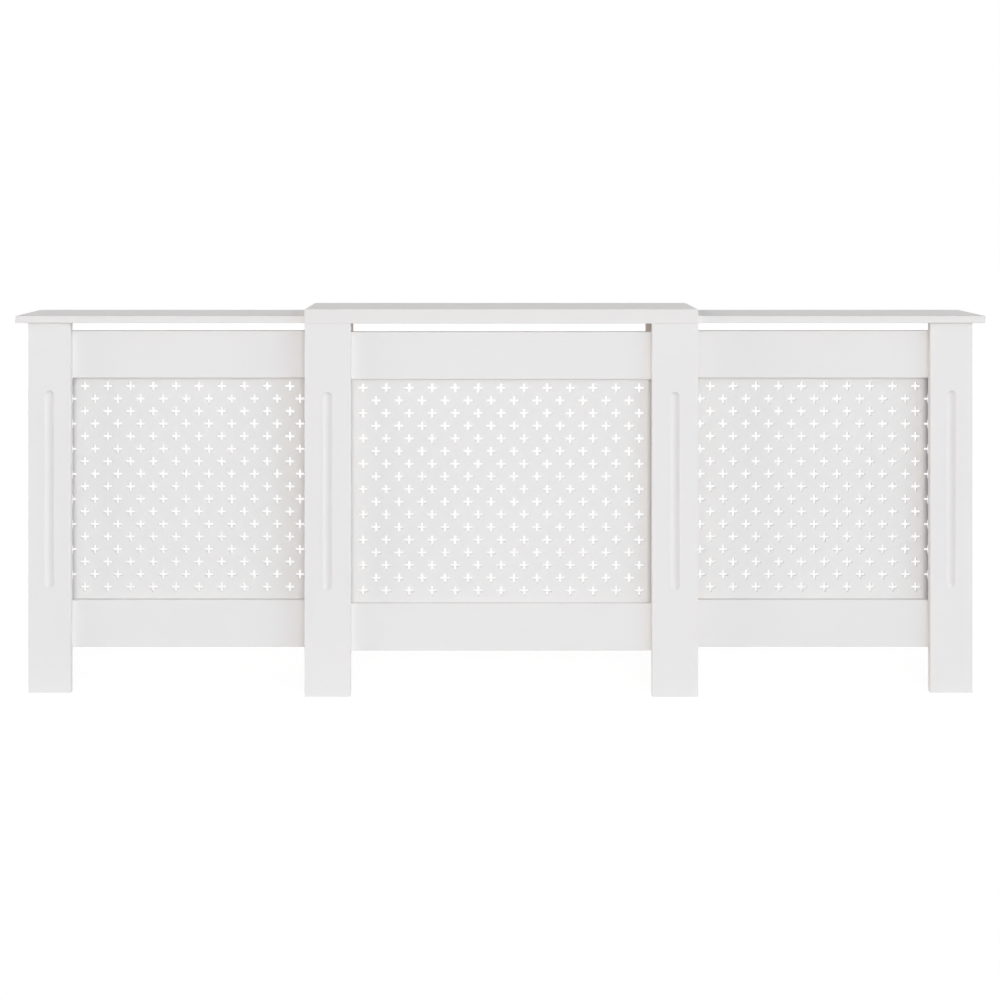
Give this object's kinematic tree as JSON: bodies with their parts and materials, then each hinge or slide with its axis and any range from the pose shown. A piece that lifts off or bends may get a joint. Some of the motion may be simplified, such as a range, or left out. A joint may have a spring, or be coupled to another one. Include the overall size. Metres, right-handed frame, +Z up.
{
  "type": "radiator cover cabinet",
  "caption": "Extending radiator cover in white painted board: a grilled centre unit on grooved legs, with a grilled side unit that slides out from under its top at each end.",
  "frame": {"origin": "on the floor, in the middle of the centre unit in width and in the middle of the depth", "axes": "+X along the wall to the right seen from the front, +Y towards the wall, +Z up; the front faces -Y"},
  "size_m": [2.0525, 0.19, 0.815],
  "materials": {
    "painted_board": "satin",
    "painted_grille": "satin",
    "bare_board": "matte",
    "bare_wood": "matte",
    "zinc_screw": "satin",
    "zinc_bracket": "satin"
  },
  "bodies": {
    "centre": {"centre_top_board": "painted_board", "centre_top_lip": "painted_board", "centre_left_leg": "painted_board", "centre_right_leg": "painted_board", "centre_top_rail": "painted_board", "centre_bottom_rail": "painted_board", "centre_grille": "painted_grille", "centre_dowels": "bare_wood", "centre_leg_screws": "zinc_screw", "centre_grille_screws": "zinc_screw"},
    "left_unit": {"left_top_board": "painted_board", "left_leg": "painted_board", "left_side_panel": "painted_board", "left_top_rail": "painted_board", "left_bottom_rail": "painted_board", "left_grille": "painted_grille", "left_inner_leg": "bare_board", "left_inner_brace": "bare_board", "left_dowels": "bare_wood", "left_leg_screws": "zinc_screw", "left_inner_leg_screws": "zinc_screw", "left_grille_screws": "zinc_screw", "left_outer_wall_bracket": "zinc_bracket", "left_inner_wall_bracket": "zinc_bracket", "left_bracket_screws": "zinc_screw"},
    "right_unit": {"right_top_board": "painted_board", "right_leg": "painted_board", "right_side_panel": "painted_board", "right_top_rail": "painted_board", "right_bottom_rail": "painted_board", "right_grille": "painted_grille", "right_inner_leg": "bare_board", "right_inner_brace": "bare_board", "right_dowels": "bare_wood", "right_leg_screws": "zinc_screw", "right_inner_leg_screws": "zinc_screw", "right_grille_screws": "zinc_screw", "right_outer_wall_bracket": "zinc_bracket", "right_inner_wall_bracket": "zinc_bracket", "right_bracket_screws": "zinc_screw"}
  },
  "joints": [
    {"name": "left_slide", "type": "slide", "parent": "centre", "child": "left_unit", "axis": [1, 0, 0], "range_m": [0, 0.3275]},
    {"name": "right_slide", "type": "slide", "parent": "centre", "child": "right_unit", "axis": [-1, 0, 0], "range_m": [-0.0035, 0.324]}
  ]
}
